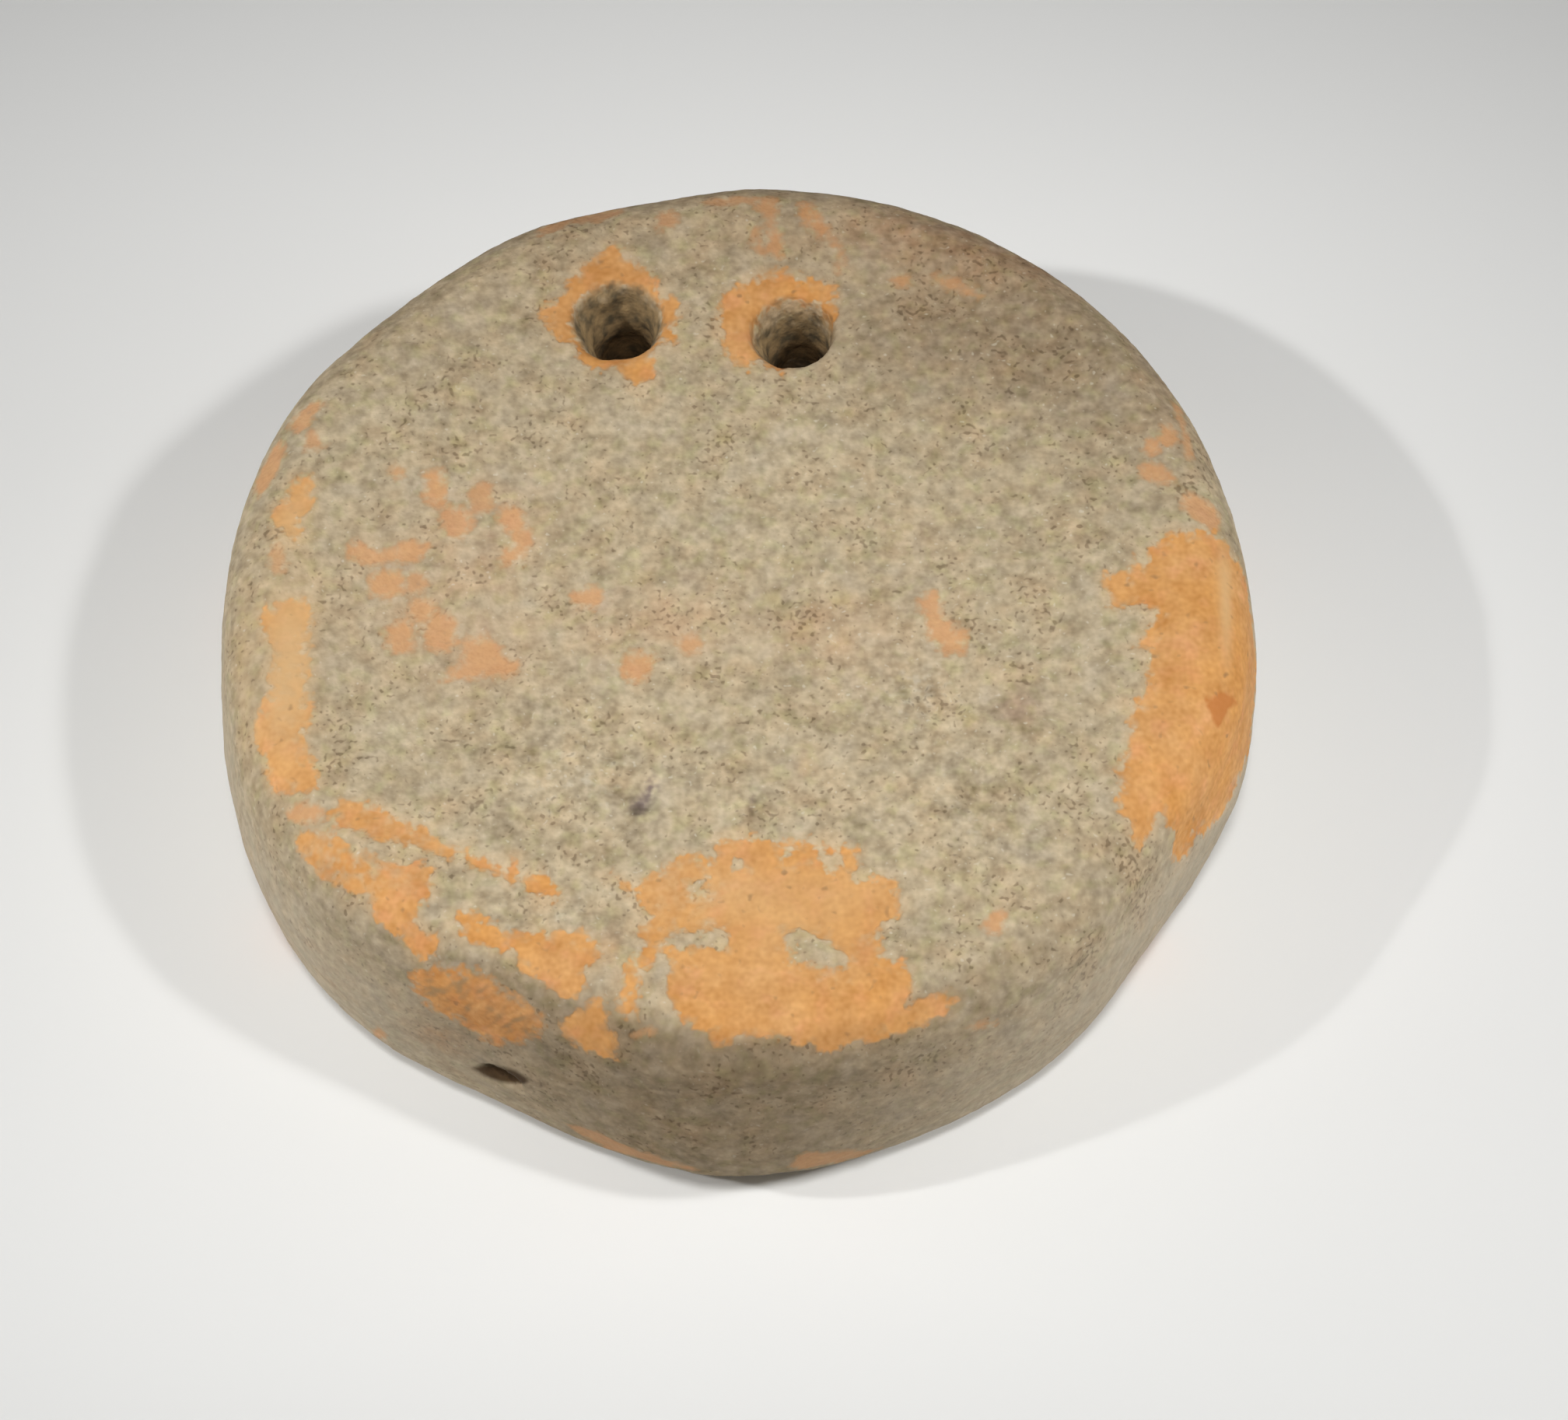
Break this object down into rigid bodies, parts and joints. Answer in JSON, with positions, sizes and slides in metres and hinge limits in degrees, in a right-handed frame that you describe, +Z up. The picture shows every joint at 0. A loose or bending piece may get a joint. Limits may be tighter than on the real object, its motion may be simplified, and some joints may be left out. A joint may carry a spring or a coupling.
{
  "type": "clay loom weight",
  "caption": "Thick round disc of fired clay with a pair of small holes pierced near its rim, which held the warp threads of a loom taut by its weight.",
  "frame": {"origin": "middle of the disc's outer box, at the underside that it lies on", "axes": "+Z up through the disc's thickness, +Y towards the rim beside the holes, which was the top when the weight hung"},
  "size_m": [0.1, 0.1012, 0.0298],
  "materials": {
    "fired_clay": "matt, sandy buff-grey skin worn through to smooth orange clay in patches"
  },
  "bodies": {
    "root": {"loom_weight": "fired_clay"}
  },
  "joints": []
}
